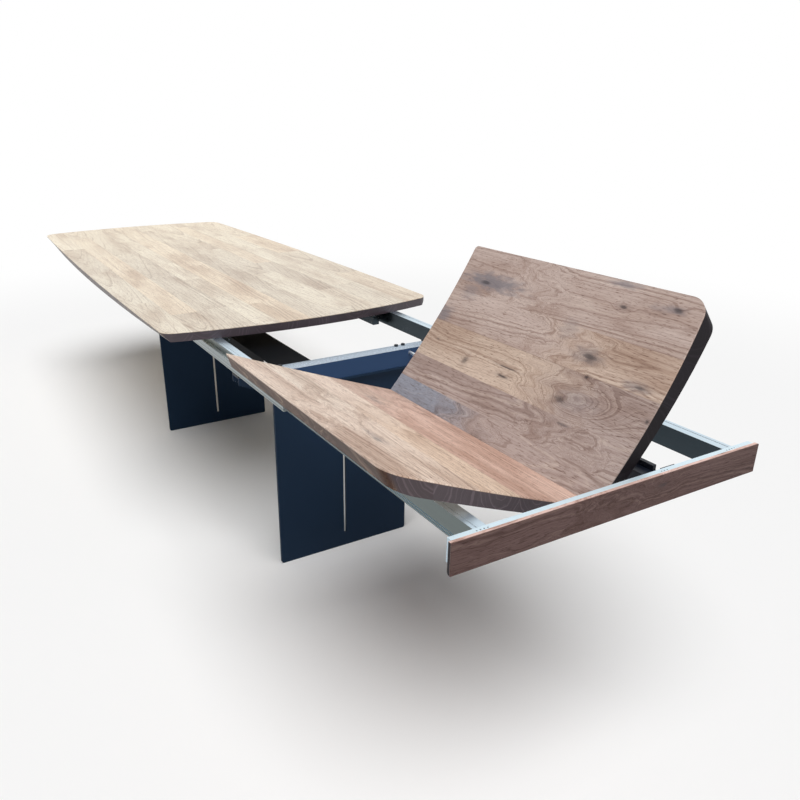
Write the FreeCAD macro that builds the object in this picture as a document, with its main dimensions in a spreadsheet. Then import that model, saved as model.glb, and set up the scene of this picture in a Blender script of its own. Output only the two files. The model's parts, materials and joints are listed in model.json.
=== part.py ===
"""Extending dining table with a folding leaf, drawn with the leaf half open.

Millimetres, +Z up, floor at zero, +X along the table towards the end apron, +Y to the far side.
The origin lies on the floor under the middle of the drawn-out table.
"""
import FreeCAD, Part
import os
import re
import Sketcher
from FreeCAD import Placement, Rotation, Vector

# Driving dimensions
SIZES = {
    # Main top
    "table_height": 760,
    "top_length": 2400,
    "top_thickness": 29,
    "end_width": 976,
    "end_bulge": 60,
    "side_bulge": 16,
    "corner_radius": 70,
    "meet_radius": 45,
    "undercut_end": 26,
    "undercut_middle": 6,
    "undercut_spill": 2,
    "arris": 0.8,
    # Folding leaf
    "leaf_length": 780,
    "leaf_gap": 477,
    "leaf_setback": 65,
    "leaf_undercut": 22,
    "end_swing": 2.1,
    "leaf_corner_radius": 50,
    "tip_radius": 9,
    "seam_gap": 0.6,
    "near_tilt": 19.7,
    "far_tilt": 48.3,
    # Concealed hinges in the seam
    "cup_diameter": 14,
    "cup_length": 22,
    "cup_margin": 90,
    "tongue_thickness": 3,
    "tongue_reach": 5,
    "tongue_height": 10,
    "tongue_clearance": 0.4,
    "tongue_end_gap": 2,
    "fit_clearance": 0.05,
    # Pivots of the near half
    "pivot_inset": 22,
    "pivot_depth": 60,
    "pin_diameter": 8,
    "lug_margin": 120,
    "lug_thickness": 8,
    "lug_width": 20,
    "lug_gap": 2,
    "lug_base_width": 26,
    "lug_base_thickness": 4,
    "cheek_thickness": 3,
    "cheek_clearance": 0.4,
    "bracket_back": 3,
    "bracket_height": 40,
    # Sliding frame
    "rail_spacing": 652,
    "rail_width": 30,
    "rail_height": 50,
    "rail_wall": 2.5,
    "rail_length": 1900,
    "glide_gap": 0.5,
    "groove_depth": 3,
    "groove_level": 4.5,
    "groove_pitch": 6,
    "line_width": 1.5,
    "line_depth": 0.8,
    "line_inset": 9,
    "apron_width": 800,
    "apron_height": 65,
    "apron_thickness": 10,
    "apron_arris": 1,
    "apron_foot": 7,
    "profile_depth": 12,
    "profile_height": 48,
    "profile_inset": 6,
    "screw_diameter": 3.2,
    "screw_length": 8,
    "screw_pitch": 8,
    "screw_setback": 4,
    "screw_sink": 0.4,
    # Leaf bracket on the end profile
    "rest_side": 125,
    "rest_width": 40,
    "rest_reach": 118,
    "rest_plate": 3,
    "rest_web": 30,
    "rest_drop": 30.5,
    "bar_width": 10,
    "bar_height": 12,
    "bar_inset": 42,
    # Legs and crossbars
    "base_reach": 1126,
    "leg_spacing": 1285,
    "leg_width": 480,
    "leg_thickness": 10,
    "foot_radius": 8,
    "slot_width": 10,
    "slot_foot": 48,
    "flange_depth": 56,
    "flange_thickness": 6,
    "crossbar_depth": 50,
    "crossbar_height": 58,
    "crossbar_wall": 3,
    "taper_height": 36,
    "taper_length": 85,
    "pad_thickness": 3.5,
    "bolt_diameter": 8,
    "bolt_head": 13,
    "bolt_head_height": 6,
    "bolt_setback": 14,
    "bolt_margin": 8,
    "bolt_pitch": 26,
    "bolt_clearance": 0.3,
    "stop_pin_diameter": 10,
    "stop_pin_length": 120,
    "stop_pin_side": 232,
    "stop_pin_drop": 13,
    # Spine and cross arms
    "spine_side": 160,
    "spine_width": 124,
    "spine_height": 50,
    "spine_wall": 3,
    "spine_cutback": 84,
    "arm_setback": 560,
    "arm_depth": 40,
    "arm_height": 40,
    # Outer guides of the side rails
    "guide_depth": 12.7,
    "guide_height": 28,
    "guide_wall": 2.5,
    "guide_lip": 2,
    "guide_clearance": 0.3,
    "guide_tail": 55,
    "guide_reach": 342,
    "stop_length": 14,
    "stop_nose": 5,
    # Runners of the main top and their channels
    "runner_side": 280,
    "runner_flange_width": 40,
    "runner_flange": 4,
    "runner_stem": 10,
    "runner_foot_width": 24,
    "runner_tail": 150,
    "runner_nose": 70,
    "runner_screw_margin": 60,
    "screw_head": 9,
    "screw_head_height": 3,
    "channel_width": 36,
    "channel_height": 32,
    "channel_wall": 2.5,
    "channel_mouth": 14,
    "channel_tail": 150,
    "channel_nose": 60,
}

# Numbers of repeated pieces
HINGES = 3
RAIL_SCREWS = 4
REST_SCREWS = 3
RUNNER_SCREWS = 6

# Places and sizes worked out from the driving dimensions
DERIVED = {
    "half_span": "(top_length + leaf_gap + leaf_length + leaf_setback) / 2",
    "leaf_right": "half_span - leaf_setback",
    "leaf_left": "leaf_right - leaf_length",
    "top_right": "leaf_left - leaf_gap",
    "top_left": "-half_span",
    "half_end": "end_width / 2",
    "half_length": "top_length / 2",
    "half_side": "half_length - end_bulge",
    "end_arc": "(half_end ^ 2 + end_bulge ^ 2) / (2 * end_bulge)",
    "side_arc": "(half_side ^ 2 + side_bulge ^ 2) / (2 * side_bulge)",
    "top_middle": "top_left + half_length",
    "top_under": "table_height - top_thickness",
    "cut_low": "half_end - undercut_end",
    "cut_high": "half_end + undercut_spill",
    "cut_outer": "half_end + 2 * side_bulge + undercut_spill",
    "cut_bulge_low": "undercut_end + side_bulge - undercut_middle",
    "cut_arc_low": "(half_length ^ 2 + cut_bulge_low ^ 2) / (2 * cut_bulge_low)",
    "cut_arc_high": "(half_length ^ 2 + side_bulge ^ 2) / (2 * side_bulge)",
    "half_foot": "half_end - leaf_undercut",
    "half_seam": "seam_gap / 2",
    "rail_inside": "rail_spacing / 2 - rail_width / 2",
    "pivot_from_hinge": "rail_inside - pivot_inset",
    "lug_base_length": "2 * (pivot_inset - lug_gap)",
    "hinge_drop": "pivot_from_hinge * sin(near_tilt * 1 deg) + pivot_depth * (1 - cos(near_tilt * 1 deg))",
    "hinge_level": "table_height - hinge_drop",
    "hinge_shift": "pivot_depth * sin(near_tilt * 1 deg) - pivot_from_hinge * (1 - cos(near_tilt * 1 deg))",
    "pivot_level": "table_height - pivot_depth",
    "cup_pitch": "(leaf_length - 2 * cup_margin) / " + str(HINGES - 1),
    "rail_top": "top_under - glide_gap",
    "rail_foot": "rail_top - rail_height",
    "rail_outside": "rail_spacing / 2 + rail_width / 2",
    "profile_back": "half_span - apron_thickness - profile_depth",
    "rail_start": "profile_back - rail_length",
    "front_leg": "half_span - base_reach",
    "rear_leg": "front_leg - leg_spacing",
    "crossbar_top": "rail_foot - pad_thickness",
    "crossbar_foot": "crossbar_top - crossbar_height",
    "leg_height": "crossbar_foot",
    "guide_foot": "rail_foot + groove_level - guide_wall / 2",
    "guide_inside": "rail_outside + guide_clearance",
    "guide_outside": "guide_inside + guide_depth",
    "guide_start": "rear_leg - guide_tail",
    "guide_end": "front_leg + guide_reach",
    "rest_level": "rail_top - rest_drop",
    "arm_middle": "front_leg - arm_setback",
    "channel_start": "rear_leg - channel_tail",
    "channel_end": "arm_middle + channel_nose",
    "channel_top": "crossbar_top + channel_height",
    "runner_start": "top_left + runner_tail",
    "runner_end": "top_right - runner_nose",
    "foot_top": "channel_top - channel_wall - guide_clearance",
    "foot_level": "crossbar_top + channel_wall + guide_clearance",
    "runner_screw_pitch":
        "(runner_end - runner_start - 2 * runner_screw_margin) / " + str(RUNNER_SCREWS - 1),
}

# Distance within which an edge counts as lying at a place
NEAR_BY = 0.01

NEAR = ("near", -1)
FAR = ("far", 1)
SIDES = (NEAR, FAR)
LEGS = (("rear", "rear_leg"), ("front", "front_leg"))

doc = FreeCAD.newDocument("extending_table")
dims = doc.addObject("Spreadsheet::Sheet", "dims")
nodes = []


def corner_round(name, middle, side, across, radius, turn):
    """Formulas of the round between a leaf's end arc and its side; turn is 1 for a hollow, -1 for a bow.

    They give the place of its centre and of its end on the side, and both places of its end on the arc.
    """
    reach, inside = f"(end_arc + {turn} * {radius})", f"({across} - {radius} - {side})"
    along = f"sqrt({reach} ^ 2 - {inside} ^ 2)"
    return {f"{name}_place": f"{middle} + {along}",
            f"{name}_start": f"{middle} + {along} * end_arc / {reach}",
            f"{name}_side": f"{side} + {inside} * end_arc / {reach}"}


# Top and underside of a leaf half: how far its side lies from the seam, and how far its right end is swung
LEAF_LEVELS = {"face": ("half_end", "0"), "foot": ("half_foot", "end_swing")}
for level, (across, swing) in LEAF_LEVELS.items():
    middle, side = f"{level}_middle", f"{level}_middle_side"
    DERIVED[middle] = f"leaf_right - end_arc * cos({swing} * 1 deg)"
    DERIVED[side] = f"end_arc * sin({swing} * 1 deg)"
    DERIVED.update(corner_round(f"{level}_tip", "leaf_left - end_arc", "0", across, "tip_radius", 1))
    DERIVED.update(corner_round(f"{level}_corner", middle, side, across, "leaf_corner_radius", -1))


def fill_sheet():
    """Write the driving dimensions as plain numbers, then the formulas that follow from them."""
    cells = [(name, str(size)) for name, size in SIZES.items()]
    cells += [(name, "=" + formula) for name, formula in DERIVED.items()]
    for row, (name, content) in enumerate(cells, start=1):
        dims.set(f"A{row}", name)
        dims.set(f"B{row}", content)
        dims.setAlias(f"B{row}", name)
    doc.recompute()


def number(name):
    """Value of a named cell, in millimetres or degrees."""
    cell = getattr(dims, name)
    return float(getattr(cell, "Value", cell))


def ref(formula):
    """Formula with each named size written as a reference to its cell."""
    known = set(SIZES) | set(DERIVED)
    return re.sub(r"[a-z_]+", lambda word: "dims." + word[0] if word[0] in known else word[0], formula)


def bind(thing, **formulas):
    """Bind properties of an object to formulas; x, y and z stand for its place."""
    for name, formula in formulas.items():
        path = f"Placement.Base.{name}" if name in ("x", "y", "z") else name
        thing.setExpression(path, ref(formula))
    return thing


def node(thing, label):
    """Name a finished sub-part and put it on the list that is written out."""
    thing.Label = label
    nodes.append(thing)
    return thing


def box(name, x, y, z, length, width, height):
    block = doc.addObject("Part::Box", name)
    return bind(block, x=x, y=y, z=z, Length=length, Width=width, Height=height)


TURNS = {"x": Rotation(Vector(0, 1, 0), 90), "y": Rotation(Vector(1, 0, 0), -90), "z": Rotation()}


def cylinder(name, axis, x, y, z, diameter, height):
    """Round bar that starts at a point and runs along the positive axis."""
    bar = doc.addObject("Part::Cylinder", name)
    bar.Placement = Placement(Vector(), TURNS[axis])
    return bind(bar, x=x, y=y, z=z, Radius=f"({diameter}) / 2", Height=height)


def hexagon_bar(name, x, y, z, width, height):
    """Upright hexagonal bar; its width is measured across the corners."""
    bar = doc.addObject("Part::Prism", name)
    bar.Polygon = 6
    return bind(bar, x=x, y=y, z=z, Circumradius=f"({width}) / 2", Height=height)


def fuse(name, shapes):
    joined = doc.addObject("Part::MultiFuse", name)
    joined.Shapes = shapes
    joined.Refine = True
    return joined


def cut(name, base, tools):
    tool = tools[0] if len(tools) == 1 else group(name + "_tools", tools)
    result = doc.addObject("Part::Cut", name)
    result.Base = base
    result.Tool = tool
    return result


def group(name, members):
    """Several separate solids in one object."""
    bundle = doc.addObject("Part::Compound", name)
    bundle.Links = members
    return bundle


def new_body(name):
    return doc.addObject("PartDesign::Body", name)


def new_sketch(body, name, plane):
    sketch = body.newObject("Sketcher::SketchObject", name)
    support = next(item for item in body.Origin.OriginFeatures if item.Role == plane)
    sketch.AttachmentSupport = [(support, "")]
    sketch.MapMode = "FlatFace"
    return sketch


def fix_point(sketch, geometry, end, place):
    """Tie one end of a sketch line or arc, or a circle's centre, to a pair of formulas."""
    start = sketch.getPoint(geometry, end)
    for kind, value, formula in zip(("DistanceX", "DistanceY"), (start.x, start.y), place):
        index = sketch.addConstraint(Sketcher.Constraint(kind, geometry, end, value))
        sketch.setExpression(f"Constraints[{index}]", ref(formula))


def polygon(sketch, corners):
    """Closed outline of straight lines, drawn as a small ring and then tied corner by corner."""
    turn = Rotation(Vector(0, 0, 1), 360 / len(corners))
    points = [Vector(1, 0, 0)]
    for _ in corners[1:]:
        points.append(turn.multVec(points[-1]))
    first = sketch.GeometryCount
    for here, there in zip(points, points[1:] + points[:1]):
        sketch.addGeometry(Part.LineSegment(here, there))
    count = len(corners)
    for index, place in enumerate(corners):
        before = first + (index - 1) % count
        sketch.addConstraint(Sketcher.Constraint("Coincident", before, 2, first + index, 1))
        fix_point(sketch, first + index, 1, place)


def rectangle(sketch, left, bottom, right, top):
    polygon(sketch, [(left, bottom), (right, bottom), (right, top), (left, top)])


def hexagon(sketch, place, width):
    """Hexagon round a place; its width is measured across the corners."""
    along, across = place
    turns = [f"{60 * step} * 1 deg" for step in range(6)]
    polygon(sketch, [(f"{along} + {width} / 2 * cos({turn})", f"{across} + {width} / 2 * sin({turn})")
                     for turn in turns])


def circle(sketch, place, diameter):
    index = sketch.addGeometry(Part.Circle(Vector(0, 0, 0), Vector(0, 0, 1), 1))
    fix_point(sketch, index, 3, place)
    drawn = 2 * sketch.Geometry[index].Radius
    size = sketch.addConstraint(Sketcher.Constraint("Diameter", index, drawn))
    sketch.setExpression(f"Constraints[{size}]", ref(diameter))


def pad(body, sketch, length, reverse=False):
    feature = body.newObject("PartDesign::Pad", sketch.Name + "_pad")
    feature.Profile = sketch
    feature.Reversed = reverse
    return bind(feature, Length=length)


def pocket(body, sketch, depth, reverse=False):
    feature = body.newObject("PartDesign::Pocket", sketch.Name + "_cut")
    feature.Profile = sketch
    feature.Reversed = reverse
    return bind(feature, Length=depth)


def checked_pocket(body, sketch, depth, reverse=False):
    """Pocket that must take material away."""
    doc.recompute()
    before = body.Shape.Volume
    feature = pocket(body, sketch, depth, reverse)
    doc.recompute()
    if body.Shape.Volume >= before - NEAR_BY:
        raise RuntimeError(f"{feature.Name} cuts nothing")
    return feature


def edges_of(body, test):
    """Names of the edges of a body's last feature whose middle and box pass a test."""
    doc.recompute()
    names = []
    for index, edge in enumerate(body.Tip.Shape.Edges, start=1):
        middle = edge.valueAt((edge.FirstParameter + edge.LastParameter) / 2)
        if test(middle, edge.BoundBox):
            names.append(f"Edge{index}")
    return names


def upright(size):
    """Whether an edge's box is that of an upright edge."""
    return size.ZLength > max(size.XLength, size.YLength)


def round_edges(body, test, radius):
    names = edges_of(body, test)
    base = body.Tip
    feature = body.newObject("PartDesign::Fillet", body.Name + "_round")
    feature.Base = (base, names)
    return bind(feature, Radius=radius)


def ease_edges(body, test):
    """Narrow chamfer along the edges that pass a test."""
    names = edges_of(body, test)
    base = body.Tip
    feature = body.newObject("PartDesign::Chamfer", body.Name + "_arris")
    feature.Base = (base, names)
    return bind(feature, Size="arris")


def arc_outline(sketch, corners, middles, radii):
    """Closed outline through named corners; each side is an arc past a middle point, or straight."""
    points = [Vector(sign_x * number(x), sign_y * number(y), 0) for sign_x, x, sign_y, y in corners]
    ends = []
    for here, there, middle in zip(points, points[1:] + points[:1], middles):
        curve = Part.LineSegment(here, there) if middle is None else Part.Arc(here, middle, there)
        index = sketch.addGeometry(curve)
        starts_here = sketch.getPoint(index, 1).distanceToPoint(here) < NEAR_BY
        ends.append((index, 1, 2) if starts_here else (index, 2, 1))
    for position, (index, first, _) in enumerate(ends):
        before, _, last = ends[position - 1]
        sketch.addConstraint(Sketcher.Constraint("Coincident", before, last, index, first))
        sign_x, x, sign_y, y = corners[position]
        fix_point(sketch, index, first, (f"{sign_x} * {x}", f"{sign_y} * {y}"))
        if radii[position]:
            radius = sketch.Geometry[index].Radius
            size = sketch.addConstraint(Sketcher.Constraint("Radius", index, radius))
            sketch.setExpression(f"Constraints[{size}]", ref(radii[position]))


def undercut_strip(body, name, sign, level, half, bulge, radius):
    """Strip outside a bowed line along the main top, at one level of the undercut."""
    sketch = new_sketch(body, name, "XY_Plane")
    sketch.setExpression("AttachmentOffset.Base.z", ref(level))
    corners = [(-1, "half_length", sign, half), (1, "half_length", sign, half),
               (1, "half_length", sign, "cut_outer"), (-1, "half_length", sign, "cut_outer")]
    middle = Vector(0, sign * (number(half) + number(bulge)), 0)
    arc_outline(sketch, corners, [middle, None, None, None], [radius, None, None, None])
    return sketch


def undercut_side(body, side):
    """Sloping cut under one long side, deeper towards the corners than in the middle."""
    name, sign = side
    low = undercut_strip(body, f"undercut_{name}_low", sign, "0", "cut_low", "cut_bulge_low", "cut_arc_low")
    high = undercut_strip(body, f"undercut_{name}_high", sign, "top_thickness", "cut_high", "side_bulge",
                          "cut_arc_high")
    loft = body.newObject("PartDesign::SubtractiveLoft", f"undercut_{name}")
    loft.Profile = low
    loft.Sections = [high]
    loft.Ruled = True


def main_top():
    """Walnut panel with bowed ends and sides, rounded corners and undercut long sides."""
    body = new_body("main_top_body")
    sketch = new_sketch(body, "main_top_outline", "XY_Plane")
    signs = ((-1, -1), (1, -1), (1, 1), (-1, 1))
    corners = [(along, "half_side", across, "half_end") for along, across in signs]
    side = Vector(0, number("half_end") + number("side_bulge"), 0)
    end = Vector(number("half_length"), 0, 0)
    middles = [-side, end, side, -end]
    arc_outline(sketch, corners, middles, ["side_arc", "end_arc", "side_arc", "end_arc"])
    pad(body, sketch, "top_thickness")
    bind(body, x="top_middle", z="top_under")
    round_edges(body, lambda at, size: upright(size) and at.x > 0, "meet_radius")
    round_edges(body, lambda at, size: upright(size) and at.x < 0, "corner_radius")
    for side in SIDES:
        undercut_side(body, side)
    face = number("top_thickness") - NEAR_BY
    ease_edges(body, lambda at, size: size.ZMin > face)
    return node(body, "main_top")


def tilt(thing, side):
    """Turn a piece of a leaf half from the flat table to the half's place on the open leaf."""
    _, sign = side
    angle = "near_tilt" if side is NEAR else "far_tilt"
    thing.Placement = Placement(Vector(), Rotation(Vector(sign, 0, 0), number(angle)))
    bind(thing, y="hinge_shift", z="hinge_level")
    thing.setExpression("Placement.Rotation.Angle", ref(angle) + " * 1 deg")
    return thing


def hinge_places():
    return [f"leaf_left + cup_margin + {index} * cup_pitch" for index in range(HINGES)]


def arc_point(middle, side, across, sign):
    """Point half-way across a leaf half on an end arc round a middle place."""
    half = number(across) / 2
    along = (number("end_arc") ** 2 - (half - side) ** 2) ** 0.5
    return Vector(middle + along, sign * half, 0)


def round_point(name, across, radius, sign):
    """Point half-way along one of the rounds on a leaf half's outer corners."""
    size = number(radius)
    centre = Vector(number(f"{name}_place"), number(across) - size, 0)
    start = Vector(number(f"{name}_start"), number(f"{name}_side"), 0)
    middle = centre + (start - centre + Vector(0, size, 0)).normalize() * size
    return Vector(middle.x, sign * middle.y, 0)


def leaf_outline(body, side, level, height):
    """Outline of a leaf half at one level: hollow left end, straight side, bowed right end, round corners."""
    name, sign = side
    across, _ = LEAF_LEVELS[level]
    tip, corner = f"{level}_tip", f"{level}_corner"
    sketch = new_sketch(body, f"leaf_{name}_{level}", "XY_Plane")
    sketch.setExpression("AttachmentOffset.Base.z", ref(height))
    corners = [(1, "leaf_left", sign, "half_seam"), (1, f"{tip}_start", sign, f"{tip}_side"),
               (1, f"{tip}_place", sign, across), (1, f"{corner}_place", sign, across),
               (1, f"{corner}_start", sign, f"{corner}_side"), (1, "leaf_right", sign, "half_seam")]
    hollow = arc_point(number("leaf_left") - number("end_arc"), 0, across, sign)
    bow = arc_point(number(f"{level}_middle"), number(f"{level}_middle_side"), across, sign)
    middles = [hollow, round_point(tip, across, "tip_radius", sign), None,
               round_point(corner, across, "leaf_corner_radius", sign), bow, None]
    arc_outline(sketch, corners, middles,
                ["end_arc", "tip_radius", None, "leaf_corner_radius", "end_arc", None])
    return sketch


def leaf_half(side):
    """Half of the leaf, lying flat with the hinge line on the X axis and its top at zero.

    Its underside is narrower than its top, and its right end leans out towards the lower corner.
    """
    name, sign = side
    body = new_body(f"leaf_{name}_body")
    foot = leaf_outline(body, side, "foot", "-top_thickness")
    face = leaf_outline(body, side, "face", "0")
    loft = body.newObject("PartDesign::AdditiveLoft", f"leaf_{name}_board")
    loft.Profile = foot
    loft.Sections = [face]
    loft.Ruled = True
    bores = new_sketch(body, f"leaf_{name}_bores", "XZ_Plane")
    for place in hinge_places():
        circle(bores, (place, "-top_thickness / 2"), "cup_diameter + 2 * fit_clearance")
    checked_pocket(body, bores, "cup_length + half_seam", reverse=sign < 0)
    return node(tilt(body, side), f"leaf_{name}")


def hinge_cups(side):
    """Barrels in the seam edge; each carries a tongue and has a slot for the other half's tongue."""
    name, sign = side
    cups = []
    start = "half_seam" if sign > 0 else "-half_seam - cup_length"
    for index, place in enumerate(hinge_places()):
        tag = f"cup_{name}_{index}"
        barrel = cylinder(tag, "y", place, start, "-top_thickness / 2", "cup_diameter", "cup_length")
        own = f"{place} + ({sign} * (tongue_thickness + 2 * tongue_clearance) - tongue_thickness) / 2"
        other = f"{place} + ({-sign} * (tongue_thickness + 2 * tongue_clearance) - tongue_thickness) / 2"
        reach = "tongue_reach + cup_length / 2"
        tongue_start = "-tongue_reach" if sign > 0 else "-cup_length / 2"
        level = "-top_thickness / 2 - tongue_height / 2"
        tongue = box(tag + "_tongue", own, tongue_start, level, "tongue_thickness", reach, "tongue_height")
        slot_depth = "tongue_reach + tongue_end_gap"
        slot_start = "0" if sign > 0 else f"-({slot_depth})"
        slot = box(tag + "_slot", f"{other} - tongue_clearance", slot_start, "-top_thickness",
                   "tongue_thickness + 2 * tongue_clearance", slot_depth, "top_thickness")
        cups.append(cut(tag + "_slotted", fuse(tag + "_whole", [barrel, tongue]), [slot]))
    return node(tilt(group(f"cups_{name}", cups), side), f"hinge_cups_{name}")


def lug_places():
    return ["leaf_left + lug_margin", "leaf_right - lug_margin"]


def pivot_lugs():
    """Lugs screwed under the near half; the pivot pins pass through their round ends."""
    lugs = []
    for index, place in enumerate(lug_places()):
        tag = f"lug_{index}"
        half = "lug_thickness / 2"
        web = box(tag + "_web", f"{place} - {half}", "-pivot_from_hinge - lug_width / 2", "-pivot_depth",
                  "lug_thickness", "lug_width", "pivot_depth - top_thickness")
        eye = cylinder(tag + "_eye", "x", f"{place} - {half}", "-pivot_from_hinge", "-pivot_depth",
                       "lug_width", "lug_thickness")
        base = box(tag + "_base", f"{place} - lug_base_width / 2",
                   "-pivot_from_hinge - lug_base_length / 2", "-top_thickness - lug_base_thickness",
                   "lug_base_width", "lug_base_length", "lug_base_thickness")
        bore = cylinder(tag + "_bore", "x", f"{place} - lug_thickness", "-pivot_from_hinge", "-pivot_depth",
                        "pin_diameter + 2 * fit_clearance", "2 * lug_thickness")
        lugs.append(cut(tag, fuse(tag + "_whole", [web, eye, base]), [bore]))
    return node(tilt(group("lugs", lugs), NEAR), "pivot_lugs")


def pivot_brackets():
    """Forked brackets on the near rail's inner face, one round each lug."""
    brackets = []
    for index, place in enumerate(lug_places()):
        tag = f"fork_{index}"
        outer = "lug_thickness / 2 + cheek_clearance + cheek_thickness"
        back = box(tag + "_back", f"{place} - ({outer})", "-rail_inside",
                   "pivot_level - bracket_height / 2", f"2 * ({outer})", "bracket_back", "bracket_height")
        parts = [back]
        bores = []
        for sign in (-1, 1):
            edge = f"{place} + {sign} * (lug_thickness / 2 + cheek_clearance + cheek_thickness / 2)"
            start = f"{edge} - cheek_thickness / 2"
            cheek = f"{tag}_{'a' if sign < 0 else 'b'}"
            parts.append(box(cheek, start, "-rail_inside", "pivot_level - lug_width / 2", "cheek_thickness",
                             "rail_inside - pivot_from_hinge", "lug_width"))
            parts.append(cylinder(cheek + "_eye", "x", start, "-pivot_from_hinge", "pivot_level",
                                  "lug_width", "cheek_thickness"))
            bores.append(cylinder(cheek + "_bore", "x", start, "-pivot_from_hinge", "pivot_level",
                                  "pin_diameter + 2 * fit_clearance", "cheek_thickness"))
        brackets.append(cut(tag, fuse(tag + "_whole", parts), bores))
    return node(group("forks", brackets), "pivot_brackets")


def pivot_pins():
    outer = "lug_thickness / 2 + cheek_clearance + cheek_thickness"
    pins = [cylinder(f"pin_{index}", "x", f"{place} - ({outer})", "-pivot_from_hinge", "pivot_level",
                     "pin_diameter", f"2 * ({outer})") for index, place in enumerate(lug_places())]
    return node(group("pins", pins), "pivot_pins")


def side_rail(side):
    """Hollow aluminium profile: two grooves low on its outer face, one fine line along its top."""
    name, sign = side
    body = new_body(f"rail_{name}_body")
    sketch = new_sketch(body, f"rail_{name}_section", "YZ_Plane")
    half_groove = "(guide_wall / 2 + guide_clearance)"
    low, high = "rail_foot + groove_level", "rail_foot + groove_level + groove_pitch"
    floor = "rail_outside - groove_depth"
    line = "rail_outside - line_inset"
    outline = [("rail_inside", "rail_foot"), ("rail_outside", "rail_foot")]
    for level in (low, high):
        outline += [("rail_outside", f"{level} - {half_groove}"), (floor, f"{level} - {half_groove}"),
                    (floor, f"{level} + {half_groove}"), ("rail_outside", f"{level} + {half_groove}")]
    outline += [("rail_outside", "rail_top"), (line, "rail_top"), (line, "rail_top - line_depth"),
                (f"{line} - line_width", "rail_top - line_depth"), (f"{line} - line_width", "rail_top"),
                ("rail_inside", "rail_top")]
    hollow = [("rail_inside + rail_wall", "rail_foot + rail_wall"),
              (f"{floor} - rail_wall", "rail_foot + rail_wall"),
              (f"{floor} - rail_wall", "rail_top - rail_wall"),
              ("rail_inside + rail_wall", "rail_top - rail_wall")]
    for loop in (outline, hollow):
        polygon(sketch, [(f"{sign} * ({across})", up) for across, up in loop])
    pad(body, sketch, "rail_length")
    return node(bind(body, x="rail_start"), f"side_rail_{name}")


def screw_row(tag, middle, count):
    """Formulas for the places of a row of small screws across the end profile."""
    first = (count - 1) / 2
    return [(f"{tag}_{index}", f"{middle} + ({index - first}) * screw_pitch") for index in range(count)]


def profile_screw_places():
    rows = screw_row("screw_near", "-rail_spacing / 2", RAIL_SCREWS)
    rows += screw_row("screw_far", "rail_spacing / 2", RAIL_SCREWS)
    return rows


def rest_screw_places():
    return screw_row("screw_rest", "rest_side", REST_SCREWS)


def end_profile():
    """Aluminium bar behind the apron, with a row of screw holes in its top over each rail."""
    bar = box("end_bar", "profile_back", "profile_inset - apron_width / 2", "rail_top - profile_height",
              "profile_depth", "apron_width - 2 * profile_inset", "profile_height")
    holes = [cylinder(tag + "_hole", "z", "profile_back + profile_depth - screw_setback", place,
                      "rail_top - screw_length", "screw_diameter + 2 * fit_clearance", "2 * screw_length")
             for tag, place in profile_screw_places() + rest_screw_places()]
    return node(cut("end_bar_drilled", bar, holes), "end_profile")


def profile_screws(label, places):
    """Grub screws sunk a little below the top of the end profile."""
    screws = [cylinder(tag, "z", "profile_back + profile_depth - screw_setback", place,
                       "rail_top - screw_length", "screw_diameter", "screw_length - screw_sink")
              for tag, place in places]
    return node(group(label + "_set", screws), label)


def end_apron():
    """Walnut board on the front of the end profile, with soft front edges and a round lower back edge."""
    body = new_body("end_apron_body")
    sketch = new_sketch(body, "end_apron_face", "YZ_Plane")
    rectangle(sketch, "-apron_width / 2", "rail_top - apron_height", "apron_width / 2", "rail_top")
    pad(body, sketch, "apron_thickness")
    bind(body, x="half_span - apron_thickness")
    front = number("apron_thickness") - NEAR_BY
    round_edges(body, lambda at, size: size.XMin > front, "apron_arris")
    foot = number("rail_top") - number("apron_height") + NEAR_BY
    round_edges(body, lambda at, size: size.XMax < NEAR_BY and at.z < foot, "apron_foot")
    return node(body, "end_apron")


def leaf_bracket():
    """Folded plate on the back of the end profile that carries the rest bar under the far half."""
    body = new_body("leaf_bracket_body")
    sketch = new_sketch(body, "leaf_bracket_section", "XZ_Plane")
    corners = [("profile_back - rest_reach", "rest_level - rest_plate"),
               ("profile_back", "rest_level - rest_plate"), ("profile_back", "rail_top"),
               ("profile_back - rest_plate", "rail_top"), ("profile_back - rest_plate", "rest_level"),
               ("profile_back - rest_reach", "rest_level")]
    polygon(sketch, corners)
    pad(body, sketch, "rest_width")
    web = new_sketch(body, "leaf_bracket_web", "XZ_Plane")
    rectangle(web, "profile_back - rest_reach", "rest_level - rest_web", "profile_back", "rest_level")
    web.setExpression("AttachmentOffset.Base.z", ref("rest_width - rest_plate"))
    pad(body, web, "rest_plate")
    return node(bind(body, y="rest_side + rest_width"), "leaf_bracket")


def rest_bar():
    bar = box("rest_bar_block", "profile_back - rest_reach", "rest_side + rest_width - bar_width",
              "rest_level", "rest_reach - bar_inset", "bar_width", "bar_height")
    return node(bar, "leaf_rest_bar")


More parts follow.
